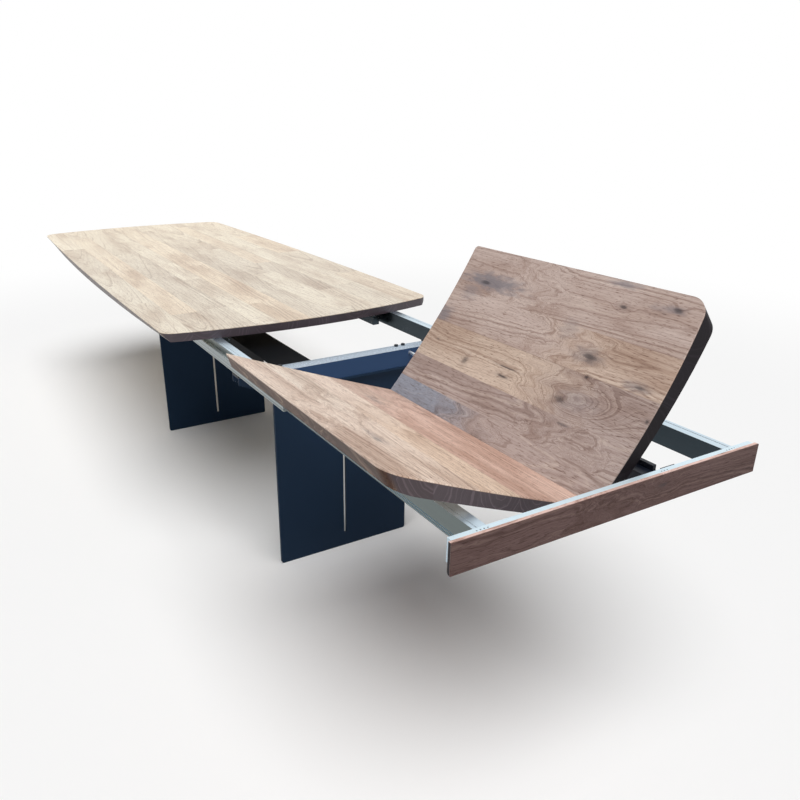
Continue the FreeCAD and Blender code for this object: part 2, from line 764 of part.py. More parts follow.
def leg(name, middle):
    """Steel plate across the table with one tall slot, and a flange with weld nuts under its crossbar."""
    body = new_body(f"leg_{name}_body")
    plate = new_sketch(body, f"leg_{name}_plate", "YZ_Plane")
    rectangle(plate, "-leg_width / 2", "0", "leg_width / 2", "leg_height")
    pad(body, plate, "leg_thickness")
    round_edges(body, lambda at, size: size.ZMax < NEAR_BY and size.YLength < NEAR_BY, "foot_radius")
    slot = new_sketch(body, f"leg_{name}_slot", "YZ_Plane")
    rectangle(slot, "-slot_width / 2", "slot_foot", "slot_width / 2", "leg_height - flange_thickness")
    checked_pocket(body, slot, "leg_thickness", reverse=True)
    flange = new_sketch(body, f"leg_{name}_flange", "YZ_Plane")
    rectangle(flange, "-leg_width / 2", "leg_height - flange_thickness", "leg_width / 2", "leg_height")
    flange.setExpression("AttachmentOffset.Base.z", ref("leg_thickness / 2 - flange_depth / 2"))
    pad(body, flange, "flange_depth")
    nuts = new_sketch(body, f"leg_{name}_nuts", "XY_Plane")
    holes = new_sketch(body, f"leg_{name}_holes", "XY_Plane")
    for _, place in bolt_places():
        spot = ("leg_thickness / 2 - bolt_setback", place)
        hexagon(nuts, spot, "bolt_head")
        circle(holes, spot, "bolt_diameter + 2 * bolt_clearance")
    nuts.setExpression("AttachmentOffset.Base.z", ref("leg_height - flange_thickness"))
    pad(body, nuts, "bolt_head_height", reverse=True)
    holes.setExpression("AttachmentOffset.Base.z", ref("leg_height"))
    checked_pocket(body, holes, "flange_thickness + bolt_head_height")
    return node(bind(body, x=f"{middle} - leg_thickness / 2"), f"leg_{name}")


def bolt_places():
    """Two bolts near each end of a leg's flange."""
    places = []
    for name, sign in SIDES:
        for index in range(2):
            across = f"leg_width / 2 - bolt_margin - {index} * bolt_pitch"
            places.append((f"{name}_{index}", f"{sign} * ({across})"))
    return places


def crossbar(name, middle):
    """Painted channel across the table, open below and cut on a slant under each end."""
    body = new_body(f"crossbar_{name}_body")
    outline = new_sketch(body, f"crossbar_{name}_outline", "YZ_Plane")
    end, slant = "guide_outside", "(guide_outside - taper_length)"
    polygon(outline, [(f"-{slant}", "crossbar_foot"), (slant, "crossbar_foot"),
                      (end, "crossbar_foot + taper_height"), (end, "crossbar_top"),
                      (f"-{end}", "crossbar_top"), (f"-{end}", "crossbar_foot + taper_height")])
    pad(body, outline, "crossbar_depth")
    hollow = new_sketch(body, f"crossbar_{name}_hollow", "XZ_Plane")
    rectangle(hollow, "crossbar_wall", "crossbar_foot - crossbar_wall", "crossbar_depth - crossbar_wall",
              "crossbar_top - crossbar_wall")
    hollow.setExpression("AttachmentOffset.Base.z", ref("-guide_outside"))
    checked_pocket(body, hollow, "2 * guide_outside", reverse=True)
    holes = new_sketch(body, f"crossbar_{name}_holes", "XY_Plane")
    for _, place in bolt_places():
        circle(holes, ("crossbar_depth / 2 - bolt_setback", place), "bolt_diameter + 2 * bolt_clearance")
    holes.setExpression("AttachmentOffset.Base.z", ref("crossbar_top"))
    checked_pocket(body, holes, "crossbar_height")
    return node(bind(body, x=f"{middle} - crossbar_depth / 2"), f"crossbar_{name}")


def leg_bolts():
    """Bolts from the top of each crossbar down through the leg's flange and weld nuts."""
    bolts = []
    for name, middle in LEGS:
        for tag, place in bolt_places():
            spot = f"{middle} - bolt_setback"
            head = hexagon_bar(f"bolt_{name}_{tag}_head", spot, place, "crossbar_top", "bolt_head",
                               "bolt_head_height")
            shank = cylinder(f"bolt_{name}_{tag}_shank", "z", spot, place,
                             "leg_height - flange_thickness - bolt_head_height",
                             "bolt_diameter", "crossbar_height + flange_thickness + bolt_head_height")
            bolts.append(fuse(f"bolt_{name}_{tag}", [head, shank]))
    return node(group("bolts", bolts), "leg_bolts")


def spine_beam():
    """Dark channel between the crossbars, open below; its walls end before the front crossbar."""
    body = new_body("spine_body")
    sketch = new_sketch(body, "spine_section", "YZ_Plane")
    near, far = "-spine_side - spine_width / 2", "-spine_side + spine_width / 2"
    foot, under = "crossbar_top - spine_height", "crossbar_top - spine_wall"
    polygon(sketch, [(near, foot), (f"{near} + spine_wall", foot), (f"{near} + spine_wall", under),
                     (f"{far} - spine_wall", under), (f"{far} - spine_wall", foot), (far, foot),
                     (far, "crossbar_top"), (near, "crossbar_top")])
    length = "leg_spacing - crossbar_depth"
    pad(body, sketch, length)
    opening = new_sketch(body, "spine_opening", "XZ_Plane")
    rectangle(opening, f"{length} - spine_cutback", foot, length, under)
    opening.setExpression("AttachmentOffset.Base.z", ref("spine_side + spine_width / 2"))
    checked_pocket(body, opening, "spine_width")
    return node(bind(body, x="rear_leg + crossbar_depth / 2"), "spine_beam")


def cross_arms():
    """Arms from the spine's two sides to the channels of the main top's runners."""
    outer = "runner_side + channel_width / 2"
    start = "arm_middle - arm_depth / 2"
    foot = "crossbar_top - arm_height"
    near = box("arm_near", start, f"-({outer})", foot, "arm_depth",
               f"{outer} - spine_side - spine_width / 2", "arm_height")
    far = box("arm_far", start, "spine_width / 2 - spine_side", foot, "arm_depth",
              f"{outer} + spine_side - spine_width / 2", "arm_height")
    return node(group("arms", [near, far]), "cross_arms")


def rail_guide(side):
    """C-shaped guide outside a side rail; its lower lip runs in the rail's lower groove."""
    name, sign = side
    body = new_body(f"guide_{name}_body")
    sketch = new_sketch(body, f"guide_{name}_section", "YZ_Plane")
    top = "guide_foot + guide_height"
    lip = "rail_outside - guide_lip"
    web = "guide_outside - guide_wall"
    outline = [("guide_outside", "guide_foot"), ("guide_outside", top), ("guide_inside", top),
               ("guide_inside", f"{top} - guide_wall"), (web, f"{top} - guide_wall"),
               (web, "guide_foot + guide_wall"), (lip, "guide_foot + guide_wall"), (lip, "guide_foot")]
    polygon(sketch, [(f"{sign} * ({across})", up) for across, up in outline])
    pad(body, sketch, "guide_end - guide_start")
    return node(bind(body, x="guide_start"), f"rail_guide_{name}")


def guide_stops():
    """Plugs in the front ends of the guides, each with a short nose."""
    stops = []
    for name, sign in SIDES:
        near_edge = "guide_inside" if sign > 0 else "guide_wall - guide_outside"
        stops.append(box(f"stop_{name}", "guide_end + stop_nose - stop_length", near_edge,
                         "guide_foot + guide_wall", "stop_length", "guide_depth - guide_wall",
                         "(guide_height - 2 * guide_wall) / 2"))
    return node(group("stops", stops), "guide_stops")


def on_crossbars(label, tag, inner, outer, height):
    """Block on top of each end of each crossbar, between two distances from the middle."""
    blocks = []
    for name, middle in LEGS:
        for side, sign in SIDES:
            start = inner if sign > 0 else f"-({outer})"
            blocks.append(box(f"{tag}_{name}_{side}", f"{middle} - crossbar_depth / 2", start,
                              "crossbar_top", "crossbar_depth", f"{outer} - ({inner})", height))
    return node(group(tag + "_set", blocks), label)


def stop_pins():
    """Bright pins on the front face of the front crossbar."""
    pins = [cylinder(f"stop_pin_{name}", "x", "front_leg + crossbar_depth / 2", f"{sign} * stop_pin_side",
                     "crossbar_top - stop_pin_drop", "stop_pin_diameter", "stop_pin_length")
            for name, sign in SIDES]
    return node(group("stop_pin_pair", pins), "stop_pins")


def runner_screw_places(sign):
    """Places of a runner's screws, on alternate sides of the stem."""
    places = []
    for index in range(RUNNER_SCREWS):
        edge = 1 if index % 2 else -1
        across = f"{sign} * runner_side + {edge} * (runner_flange_width + runner_stem) / 4"
        places.append((f"runner_start + runner_screw_margin + {index} * runner_screw_pitch", across))
    return places


def top_runner(side):
    """Runner under the main top: flange against the wood, stem, and a foot held in its channel."""
    name, sign = side
    body = new_body(f"runner_{name}_body")
    sketch = new_sketch(body, f"runner_{name}_section", "YZ_Plane")
    flange, stem, foot = "runner_flange_width / 2", "runner_stem / 2", "runner_foot_width / 2"
    under = "top_under - runner_flange"
    right = [(foot, "foot_level"), (foot, "foot_top"), (stem, "foot_top"), (stem, under), (flange, under),
             (flange, "top_under")]
    outline = right + [(f"-{across}", up) for across, up in reversed(right)]
    polygon(sketch, [(f"{sign} * runner_side + {across}", up) for across, up in outline])
    pad(body, sketch, "runner_end - runner_start")
    return node(bind(body, x="runner_start"), f"top_runner_{name}")


def runner_screws():
    """Hexagon heads of the screws that hold the runner flanges to the main top."""
    level = "top_under - runner_flange - screw_head_height"
    heads = []
    for name, sign in SIDES:
        for index, (along, across) in enumerate(runner_screw_places(sign)):
            heads.append(hexagon_bar(f"runner_screw_{name}_{index}", along, across, level, "screw_head",
                                     "screw_head_height"))
    return node(group("runner_screw_set", heads), "runner_screws")


def top_channel(side):
    """Lipped channel on the rear crossbar and the cross arm, which holds a runner's foot."""
    name, sign = side
    body = new_body(f"channel_{name}_body")
    sketch = new_sketch(body, f"channel_{name}_section", "YZ_Plane")
    half, mouth, inside = "channel_width / 2", "channel_mouth / 2", "(channel_width / 2 - channel_wall)"
    lip, floor = "channel_top - channel_wall", "crossbar_top + channel_wall"
    right = [(half, "crossbar_top"), (half, "channel_top"), (mouth, "channel_top"), (mouth, lip),
             (inside, lip), (inside, floor)]
    outline = right + [(f"-{across}", up) for across, up in reversed(right)]
    polygon(sketch, [(f"{sign} * runner_side + {across}", up) for across, up in outline])
    pad(body, sketch, "channel_end - channel_start")
    return node(bind(body, x="channel_start"), f"top_channel_{name}")


def build():
    fill_sheet()
    main_top()
    for side in SIDES:
        leaf_half(side)
        hinge_cups(side)
        side_rail(side)
        rail_guide(side)
        top_runner(side)
        top_channel(side)
    for name, middle in LEGS:
        leg(name, middle)
        crossbar(name, middle)
    pivot_lugs()
    pivot_brackets()
    pivot_pins()
    end_profile()
    end_apron()
    profile_screws("rail_screws", profile_screw_places())
    profile_screws("bracket_screws", rest_screw_places())
    leaf_bracket()
    rest_bar()
    leg_bolts()
    spine_beam()
    cross_arms()
    guide_stops()
    on_crossbars("slide_pads", "pad", "rail_inside", "rail_outside", "pad_thickness")
    on_crossbars("guide_blocks", "block", "guide_inside", "guide_outside", "guide_foot - crossbar_top")
    stop_pins()
    runner_screws()
    doc.recompute()


def write_parts():
    """Check every object, then write each sub-part to its own file."""
    for thing in doc.Objects:
        if {"Invalid", "Error"} & set(thing.State):
            raise RuntimeError(f"{thing.Label} failed: {thing.State}")
    for thing in nodes:
        if thing.Shape.isNull() or not thing.Shape.isValid():
            raise RuntimeError(f"{thing.Label} has no valid shape")
    os.makedirs("parts", exist_ok=True)
    for thing in nodes:
        thing.Shape.exportStep(f"parts/{thing.Label}.step")


build()
write_parts()
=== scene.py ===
import json
import math
import random
import bpy
from mathutils import Matrix, Vector


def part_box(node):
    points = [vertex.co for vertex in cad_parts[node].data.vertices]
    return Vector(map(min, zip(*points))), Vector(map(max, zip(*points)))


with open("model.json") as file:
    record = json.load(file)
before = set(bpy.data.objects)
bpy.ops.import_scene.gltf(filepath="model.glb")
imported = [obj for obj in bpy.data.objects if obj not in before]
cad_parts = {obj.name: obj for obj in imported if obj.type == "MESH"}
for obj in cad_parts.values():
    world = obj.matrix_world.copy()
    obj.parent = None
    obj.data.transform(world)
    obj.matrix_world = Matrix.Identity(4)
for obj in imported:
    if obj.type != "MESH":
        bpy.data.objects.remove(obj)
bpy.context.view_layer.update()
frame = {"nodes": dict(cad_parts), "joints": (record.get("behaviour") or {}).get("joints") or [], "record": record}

# From the frame: the hinge point on the leaf's seam, and how far each half is tilted from flat at rest
joints = {joint["name"]: joint for joint in frame["joints"]}
seam_along, seam_side, seam_level = joints["leaf_fold"]["pos_m"]
near_tilt = math.radians(joints["leaf_pivot"]["range_deg"][1])
far_tilt = math.radians(-joints["leaf_fold"]["range_deg"][0]) - near_tilt

# Camera, as fitted to the photograph
CAMERA_PLACE = Vector((2.7134, -1.0530, 1.3939))
CAMERA_YAW = math.radians(29.0108)
CAMERA_PITCH = math.radians(23.1494)
CAMERA_ROLL = math.radians(-0.4251)
IMAGE_SIZE = 800
FOCAL_PIXELS = 750.59
PRINCIPAL_PIXEL = (355.33, 428.24)
SENSOR_WIDTH = 36.0

# Light and floor; the floor fades to white between two distances from the origin
SKY_FILL = 0.16
SUN_STRENGTH = 2.90
SUN_FROM = Vector((0.42, -0.18, 1.0))
SUN_ANGLE = math.radians(50)
FLOOR_TONE = 0.92
FLOOR_SIZE = 40.0
FLOOR_FADE = (2.6, 5.2)

# Plain colours and directions
BLACK = (0.0, 0.0, 0.0, 1.0)
WHITE = (1.0, 1.0, 1.0, 1.0)
FORWARD = (1.0, 0.0, 0.0)
SIDEWAYS = (0.0, 1.0, 0.0)
UPWARD = (0.0, 0.0, 1.0)


def colour(red, green, blue):
    """Linear colour of an sRGB triple from 0 to 255."""
    def linear(value):
        share = value / 255
        return share / 12.92 if share <= 0.04045 else ((share + 0.055) / 1.055) ** 2.4
    return linear(red), linear(green), linear(blue), 1.0


def scaled(tone, share, more=0.0):
    """A linear colour times a share, plus a little more, and no brighter than white."""
    return tuple(min(1.0, channel * share + more) for channel in tone[:3]) + (1.0,)


class Shader:
    """One material; its calls add nodes, and take numbers, colours or the outputs of other calls."""

    # The middle of a noise
    MIDDLE = 0.5

    def __init__(self, name):
        self.material = bpy.data.materials.new(name)
        self.material.use_nodes = True
        self.tree = self.material.node_tree
        self.tree.nodes.clear()
        self.output = self.tree.nodes.new("ShaderNodeOutputMaterial")

    def add(self, kind, **settings):
        node = self.tree.nodes.new(kind)
        for name, value in settings.items():
            setattr(node, name, value)
        return node

    def put(self, socket, value):
        if isinstance(value, bpy.types.NodeSocket):
            self.tree.links.new(value, socket)
        else:
            socket.default_value = value

    def math(self, operation, *values):
        node = self.add("ShaderNodeMath", operation=operation)
        for socket, value in zip(node.inputs, values):
            self.put(socket, value)
        return node.outputs[0]

    def plus(self, value, more):
        return self.math("ADD", value, more)

    def minus(self, value, less):
        return self.math("SUBTRACT", value, less)

    def times(self, value, factor):
        return self.math("MULTIPLY", value, factor)

    def swing(self, noise, size):
        """A noise moved to lie about zero, and stretched."""
        return self.times(self.minus(noise, self.MIDDLE), size)

    def vector(self, operation, *values):
        node = self.add("ShaderNodeVectorMath", operation=operation)
        for socket, value in zip(node.inputs, values):
            self.put(socket, value)
        return node.outputs["Value" if operation in ("LENGTH", "DOT_PRODUCT") else "Vector"]

    def split(self, vector):
        node = self.add("ShaderNodeSeparateXYZ")
        self.put(node.inputs[0], vector)
        return node.outputs[0], node.outputs[1], node.outputs[2]

    def join(self, x, y, z):
        node = self.add("ShaderNodeCombineXYZ")
        for socket, value in zip(node.inputs, (x, y, z)):
            self.put(socket, value)
        return node.outputs[0]

    def mix(self, factor, first, second, blend="MIX"):
        node = self.add("ShaderNodeMix", data_type="RGBA", blend_type=blend)
        self.put(node.inputs["Factor"], factor)
        # The colour inputs and output follow those for numbers and vectors, which have the same names
        self.put(node.inputs[6], first)
        self.put(node.inputs[7], second)
        return node.outputs[2]

    def fade(self, value, start, end, low=0.0, high=1.0):
        """Smooth step from low at start to high at end."""
        node = self.add("ShaderNodeMapRange", interpolation_type="SMOOTHSTEP")
        for socket, item in zip(node.inputs, (value, start, end, low, high)):
            self.put(socket, item)
        return node.outputs[0]

    def noise(self, place, scale, detail=2.0, roughness=0.5):
        """Noise in space; scale is one number, or one for each axis."""
        if not isinstance(scale, float):
            place, scale = self.vector("MULTIPLY", place, scale), 1.0
        node = self.add("ShaderNodeTexNoise")
        self.put(node.inputs["Vector"], place)
        node.inputs["Scale"].default_value = scale
        node.inputs["Detail"].default_value = detail
        node.inputs["Roughness"].default_value = roughness
        return node.outputs[0]

    def line_noise(self, value, detail=2.0, roughness=0.5):
        """Noise along one number."""
        node = self.add("ShaderNodeTexNoise", noise_dimensions="1D")
        self.put(node.inputs["W"], value)
        node.inputs["Scale"].default_value = 1.0
        node.inputs["Detail"].default_value = detail
        node.inputs["Roughness"].default_value = roughness
        return node.outputs[0]

    def toward(self, direction):
        """How squarely the surface faces along a direction: 1 along it, -1 against it."""
        normal = self.add("ShaderNodeTexCoord").outputs["Normal"]
        return self.vector("DOT_PRODUCT", normal, direction)

    def facing(self, direction):
        """How squarely the surface faces along a direction or against it, from 0 to 1."""
        return self.math("ABSOLUTE", self.toward(direction))

    def steps(self, value, stops):
        """Colour that jumps from one stop to the next; stops are (position, colour)."""
        node = self.add("ShaderNodeValToRGB")
        ramp = node.color_ramp
        ramp.interpolation = "CONSTANT"
        while len(ramp.elements) < len(stops):
            ramp.elements.new(1.0)
        for element, (position, shade) in zip(ramp.elements, stops):
            element.position = position
            element.color = shade
        self.put(node.inputs[0], value)
        return node.outputs[0]

    def place(self):
        """Place on the piece, in the table's frame at rest."""
        return self.add("ShaderNodeTexCoord").outputs["Object"]

    def bump(self, height, strength, distance):
        node = self.add("ShaderNodeBump")
        node.inputs["Strength"].default_value = strength
        node.inputs["Distance"].default_value = distance
        self.put(node.inputs["Height"], height)
        return node.outputs[0]

    def surface(self, base, roughness, normal, metallic=0.0, specular=0.5):
        node = self.add("ShaderNodeBsdfPrincipled")
        self.put(node.inputs["Base Color"], base)
        self.put(node.inputs["Roughness"], roughness)
        self.put(node.inputs["Normal"], normal)
        node.inputs["Metallic"].default_value = metallic
        node.inputs["Specular IOR Level"].default_value = specular
        self.tree.links.new(node.outputs[0], self.output.inputs["Surface"])
        return self.material


# Walnut

# Width of the painted highlight along the arris round a top face, and of a glue line between planks
ARRIS = 0.0018
GLUE_LINE = 0.001

# How squarely a face looks up where it stops being a top, and where it stops being an underside
TOP_TO_SIDE = (0.75, 0.60)
UNDER_TO_SIDE = (-0.92, -0.75)
# How squarely a side looks along the grain where end grain begins, and where it is nothing else
SIDE_TO_END = (0.45, 0.75)

# Waves per metre of each noise, along the grain, across it and through the board
SWAY_WAVES = (1.1, 6.0, 6.0)
RIPPLE_WAVES = (5.0, 20.0, 20.0)
RAGGED_WAVES = (30.0, 90.0, 90.0)
JOINT_WAVES = (9.0, 30.0, 30.0)
FIBRE_WAVES = (14.0, 420.0, 420.0)
FLECK_WAVES = (60.0, 420.0, 420.0)
PORE_WAVES = (60.0, 900.0, 900.0)
CLOUD_WAVES = (2.2, 10.0, 10.0)

# Waves of dark and pale rings per metre from a plank's heart, and the noise where each kind shows
RING_WAVES = 150.0
LATE_WOOD = (0.50, 0.32)
EARLY_WOOD = (0.54, 0.70)
# Where a heart may lie across its plank, in widths from the low edge
HEART_SPREAD = (-0.3, 1.3)
# A heart lies this far below the top face, or up to this much higher than that
HEART_BELOW = 0.01
HEART_RISE = 0.05
# How far the rings wander sideways, and their slope along the grain: the least, and what a plank's turn adds
RING_SWAY = 0.07
RING_SLOPE = (-0.06, 0.12)
# Waviness of the rings: on a calm plank, and what a wavy one adds
CALM_RIPPLE = 1.2
WAVY_RIPPLE = 9.0

# Joints along a plank: half their blur, how ragged they are, the grain's jump, and how much calmer it gets
JOINT_BLUR = 0.15
JOINT_RAGGED = 0.25
JOINT_TURN = 0.43
JOINT_CALM = 0.6
# Staves: the shortest as a share of the given length, and the most staves that a row is offset by
STAVE_SHORTEST = 0.6
STAVE_OFFSET = 7.0

# How far one turn moves a plank's grain in the noise, along the grain and through the board
GRAIN_ALONG = 3.1
GRAIN_THROUGH = 0.7
# How far the edges of knots and stains are frayed, in sizes of the spot
RAGGED_SIZE = 1.6
# Distance from a spot, in its sizes, at which each begins and is full
KNOT_CORE = (1.25, 0.35)
KNOT_HALO = (2.8, 0.8)
STAIN_EDGE = (1.25, 0.2)
# Noise at which each mark begins and is full
CLOUD_FADE = (0.38, 0.75)
FIBRE_FADE = (0.42, 0.75)
FLECK_FADE = (0.55, 0.74)
PORE_FADE = (0.60, 0.74)

# Strength of each mark in the wood and the tone that it darkens by; the first four grow with the figure
CLOUD_MARK = (0.40, (182, 158, 144))
LATE_MARK = (0.26, (150, 120, 104))
FIBRE_MARK = (0.26, (160, 134, 120))
FLECK_MARK = (0.50, (146, 118, 104))
PORE_MARK = (0.25, (120, 94, 80))
HALO_MARK = (0.30, (140, 132, 138))
GLUE_MARK = (0.22, (110, 84, 70))
END_MARK = (0.45, (176, 150, 140))
# Strength of what covers the wood, and its tone
STAIN_COVER = (0.85, (124, 120, 126))
KNOT_COVER = (0.85, (58, 54, 58))
# A painted glare: a pale wash that stands in for reflected light, strongest towards the main top's back end
GLARE_COVER = (0.6, (254, 240, 212))
# Tone that the pale rings lighten the wood by
PALE_RING_TONE = (255, 232, 206)
# End grain: how much paler its rings are, and how strongly they show
END_RING_GAIN = 1.5
END_RING_SHARE = 0.5
# Relief of the surface: how high fibres stand, how deep pores and dark rings lie, its strength and its depth
FIBRE_RELIEF = 0.6
PORE_RELIEF = 0.8
LATE_RELIEF = 0.2
WOOD_BUMP = (0.30, 0.0006)
# How much the gloss changes from fibre to fibre
FIBRE_GLOSS = 0.25


class Board:
    """A panel's own flat frame: how to find a place in it, and which way its grain runs and its top looks."""

    def __init__(self, place, grain, across):
        self.place = place
        self.grain = grain
        self.up = Vector(grain).cross(Vector(across))


def leaf_board(tilt):
    """A leaf half as if it lay flat: along the table, across from the seam, up from the top face."""
    def place(shader):
        node = shader.add("ShaderNodeMapping", vector_type="TEXTURE")
        shader.put(node.inputs["Vector"], shader.place())
        node.inputs["Location"].default_value = (0.0, seam_side, seam_level)
        node.inputs["Rotation"].default_value = (tilt, 0.0, 0.0)
        return node.outputs[0]
    return Board(place, FORWARD, (0.0, math.cos(tilt), math.sin(tilt)))


def top_board():
    """The main top: as in the table's frame, but up from its top face."""
    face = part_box("main_top")[1].z

    def place(shader):
        return shader.vector("SUBTRACT", shader.place(), (0.0, 0.0, face))
    return Board(place, FORWARD, SIDEWAYS)


def apron_board():
    """The apron's grain runs across the table, and its width stands upright."""
    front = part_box("end_apron")[1].x

    def place(shader):
        x, y, z = shader.split(shader.place())
        return shader.join(y, z, shader.minus(x, front))
    return Board(place, SIDEWAYS, UPWARD)


def plank_ramps(shader, share, planks, high, dice):
    """Ramps over the planks: both tints, joint and waviness, and the drawn turn, heart and rise."""
    low = planks[0][0]
    edges = [plank[0] for plank in planks] + [high]
    rows = []
    for (edge, first, second, joint, wave), after in zip(planks, edges[1:]):
        position = (edge - low) / (high - low)
        width = (after - edge) / (high - low)
        heart = min(max(position + width * dice.uniform(*HEART_SPREAD), 0.0), 1.0)
        drawn = (dice.random(), heart, dice.random(), 1.0)
        build = (joint, wave, 0.0, 1.0)
        rows.append((position, colour(*first), colour(*second), build, drawn))
    positions, *columns = zip(*rows)
    return [shader.steps(share, list(zip(positions, column))) for column in columns]


def stave_tints(shader, x, turn, first, second, stave):
    """Staves joined end to end along each plank, and a number drawn for each one."""
    length = shader.math("DIVIDE", x, shader.times(shader.plus(turn, STAVE_SHORTEST), stave))
    number = shader.math("FLOOR", shader.plus(length, shader.times(turn, STAVE_OFFSET)))
    white = shader.add("ShaderNodeTexWhiteNoise", noise_dimensions="2D")
    shader.put(white.inputs["Vector"], shader.join(number, turn, 0.0))
    lot = white.outputs["Value"]
    return shader.mix(lot, first, second), lot


def joint_mask(shader, place, x, joint):
    """From 0 before a plank's joint to 1 after it, with a ragged edge."""
    ragged = shader.swing(shader.noise(place, JOINT_WAVES), JOINT_RAGGED)
    ahead = shader.plus(shader.minus(x, joint), ragged)
    return shader.fade(ahead, -JOINT_BLUR, JOINT_BLUR)


def side_mask(shader, board, z):
    """One on the side faces, apart from a thin strip under the arris above them, which keeps the tone of the top
    as a painted highlight on the edge.
    """
    up = shader.toward(board.up)
    side = shader.times(shader.fade(up, *TOP_TO_SIDE), shader.fade(up, *UNDER_TO_SIDE))
    # The strip just under a top face's edge keeps the top's tone: a painted highlight on the arris
    return shader.times(side, shader.fade(z, -ARRIS, -2 * ARRIS))


def spot(shader, x, y, along, across, length, width):
    """Distance from a spot, in its own lengths and widths."""
    dx = shader.math("DIVIDE", shader.minus(x, along), length)
    dy = shader.math("DIVIDE", shader.minus(y, across), width)
    return shader.vector("LENGTH", shader.join(dx, dy, 0.0))


def knot_field(shader, x, y, knots, ragged):
    """Grain shift, dark core and grey halo round each knot: (x, y, length, width, depth, reach, rings)."""
    shift, core, halo = 0.0, 0.0, 0.0
    for along, across, length, width, depth, reach, rings in knots:
        away = spot(shader, x, y, along, across, length, width)
        frayed = shader.plus(away, ragged)
        shift = shader.plus(shift, shader.fade(away, reach, 0.0, 0.0, rings))
        core = shader.math("MAXIMUM", core, shader.fade(frayed, *KNOT_CORE, 0.0, depth))
        halo = shader.math("MAXIMUM", halo, shader.fade(frayed, *KNOT_HALO, 0.0, depth))
    return shift, core, halo


def stain_field(shader, x, y, stains, ragged):
    """Strength of the grey stains: (x, y, length, width, strength)."""
    total = 0.0
    for along, across, length, width, strength in stains:
        frayed = shader.plus(spot(shader, x, y, along, across, length, width), ragged)
        total = shader.math("MAXIMUM", total, shader.fade(frayed, *STAIN_EDGE, 0.0, strength))
    return total


def ring_bands(shader, grain, x, from_heart, z, rise, turn, wave, shift):
    """Dark and pale rings round a plank's heart, drawn out along the grain and bent round the knots."""
    dy = shader.plus(from_heart, shader.swing(shader.noise(grain, SWAY_WAVES), RING_SWAY))
    dz = shader.plus(shader.minus(z, shader.times(rise, HEART_RISE)), HEART_BELOW)
    reach = shader.vector("LENGTH", shader.join(dy, dz, 0.0))
    least, growth = RING_SLOPE
    slope = shader.times(x, shader.plus(shader.times(turn, growth), least))
    ripple = shader.noise(grain, RIPPLE_WAVES, detail=3.0, roughness=0.6)
    bend = shader.swing(ripple, shader.plus(shader.times(wave, WAVY_RIPPLE), CALM_RIPPLE))
    phase = shader.times(shader.plus(reach, slope), RING_WAVES)
    phase = shader.plus(shader.plus(phase, shift), bend)
    band = shader.line_noise(phase, detail=3.0, roughness=0.6)
    return shader.fade(band, *LATE_WOOD), shader.fade(band, *EARLY_WOOD)


def glue_lines(shader, share, planks, high):
    """White at the edges between planks, on black."""
    low = planks[0][0]
    width = GLUE_LINE / (high - low)
    stops = [(0.0, BLACK)]
    for plank in planks[1:]:
        position = (plank[0] - low) / (high - low)
        stops.append((position, WHITE))
        stops.append((position + width, BLACK))
    return shader.steps(shader.plus(share, width / 2), stops)


def end_grain(shader, tone, late, rise):
    """Dark end grain, partly its own tone and partly painted shade, each plank a little different, with the rings
    as paler arcs.
    """
    pale = tuple(min(255, channel * END_RING_GAIN) for channel in tone)
    rings = shader.mix(shader.times(late, END_RING_SHARE), colour(*tone), colour(*pale))
    return marked(shader, rings, rise, END_MARK)


def marked(shader, base, place, mark, gain=1.0):
    """Wood darkened in the places of one mark."""
    strength, tone = mark
    return shader.mix(shader.times(place, strength * gain), base, colour(*tone), "MULTIPLY")


def covered(shader, base, place, cover):
    """Wood with a tone laid over it in some places."""
    strength, tone = cover
    return shader.mix(shader.times(place, strength), base, colour(*tone))


